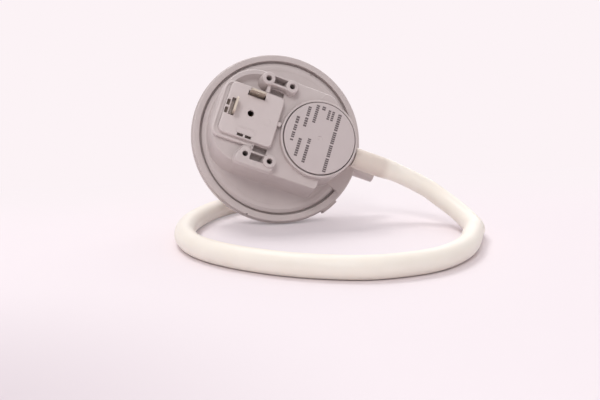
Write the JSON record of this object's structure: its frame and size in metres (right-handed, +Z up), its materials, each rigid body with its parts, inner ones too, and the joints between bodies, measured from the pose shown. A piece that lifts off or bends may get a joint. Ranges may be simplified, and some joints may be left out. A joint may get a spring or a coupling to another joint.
{
  "type": "differential pressure switch",
  "caption": "Round diaphragm pressure switch for a gas appliance, with two hose nozzles, blade terminals under a cover, a setpoint screw under a lid and a silicone hose.",
  "frame": {"origin": "centre of the underside of the switch's box, on the surface that its rim stands on; the free hose isn't counted", "axes": "+Z up, the labelled face looks toward -Y and leans back 17.3 degrees, both nozzles leave toward +X and point a little down"},
  "size_m": [0.1208, 0.1432, 0.0722],
  "materials": {
    "grey_moulding": "satin moulded thermoplastic",
    "lid_moulding": "satin moulded thermoplastic with a laser print",
    "dark_inner_plastic": "satin",
    "cream_silicone": "satin translucent silicone",
    "membrane_silicone": "satin silicone",
    "brass": "satin",
    "plated_steel": "zinc plated",
    "silver_contact": "polished"
  },
  "bodies": {
    "housing": {"rear_housing": "grey_moulding", "front_housing": "grey_moulding", "pivot_pin": "plated_steel", "screw_bush": "brass", "lid_gasket": "membrane_silicone", "contact_carrier": "dark_inner_plastic", "terminal_common": "brass", "terminal_switched": "brass", "fixed_contact": "silver_contact", "switch_cover": "grey_moulding", "diaphragm": "membrane_silicone", "hose_sleeve": "cream_silicone", "supply_hose": "cream_silicone"},
    "diaphragm_plate": {"diaphragm_plate": "dark_inner_plastic", "clamp_washer": "plated_steel"},
    "rocker_beam": {"rocker_beam": "plated_steel"},
    "plunger": {"plunger": "dark_inner_plastic"},
    "snap_blade": {"snap_blade": "brass", "moving_contact": "silver_contact"},
    "adjusting_screw": {"adjusting_screw": "brass"},
    "spring_seat": {"spring_seat": "brass", "setpoint_spring": "plated_steel"},
    "setpoint_lid": {"setpoint_lid": "lid_moulding"}
  },
  "joints": [
    {"name": "diaphragm_stroke", "type": "slide", "parent": "housing", "child": "diaphragm_plate", "axis": [0, -0.9548, 0.2974], "range_m": [0, 0.0004], "stiffness_N_per_m": 400, "deforming": ["diaphragm"]},
    {"name": "beam_rock", "type": "hinge", "parent": "housing", "child": "rocker_beam", "pos_m": [-0.01173, -0.00537, 0.04202], "axis": [-0.3584, -0.2776, -0.8913], "range_deg": [0, 2.87], "deforming": ["setpoint_spring"]},
    {"name": "plunger_slide", "type": "slide", "parent": "housing", "child": "plunger", "axis": [0, -0.9548, 0.2974], "range_m": [-0.000411, 0]},
    {"name": "contact_swing", "type": "hinge", "parent": "housing", "child": "snap_blade", "pos_m": [-0.02424, -0.00757, 0.04773], "axis": [0.3584, 0.2776, 0.8913], "range_deg": [0, 4.52]},
    {"name": "setpoint_turn", "type": "hinge", "parent": "housing", "child": "adjusting_screw", "pos_m": [0.00899, -0.01547, 0.03683], "axis": [0, -0.9548, 0.2974], "range_deg": [-315, 315]},
    {"name": "seat_travel", "type": "slide", "parent": "housing", "child": "spring_seat", "axis": [0, -0.9548, 0.2974], "range_m": [-0.0007, 0.0007]},
    {"name": "lid_lift", "type": "slide", "parent": "housing", "child": "setpoint_lid", "axis": [0, -0.9548, 0.2974], "range_m": [0, 0.012]}
  ],
  "couplings": [
    {"joint": "beam_rock", "follows": "diaphragm_stroke", "rad_per_m": 125},
    {"joint": "plunger_slide", "follows": "diaphragm_stroke", "ratio": -1.025},
    {"joint": "contact_swing", "follows": "diaphragm_stroke", "rad_per_m": 197.12},
    {"joint": "setpoint_turn", "follows": "seat_travel", "rad_per_m": 7853.9}
  ]
}
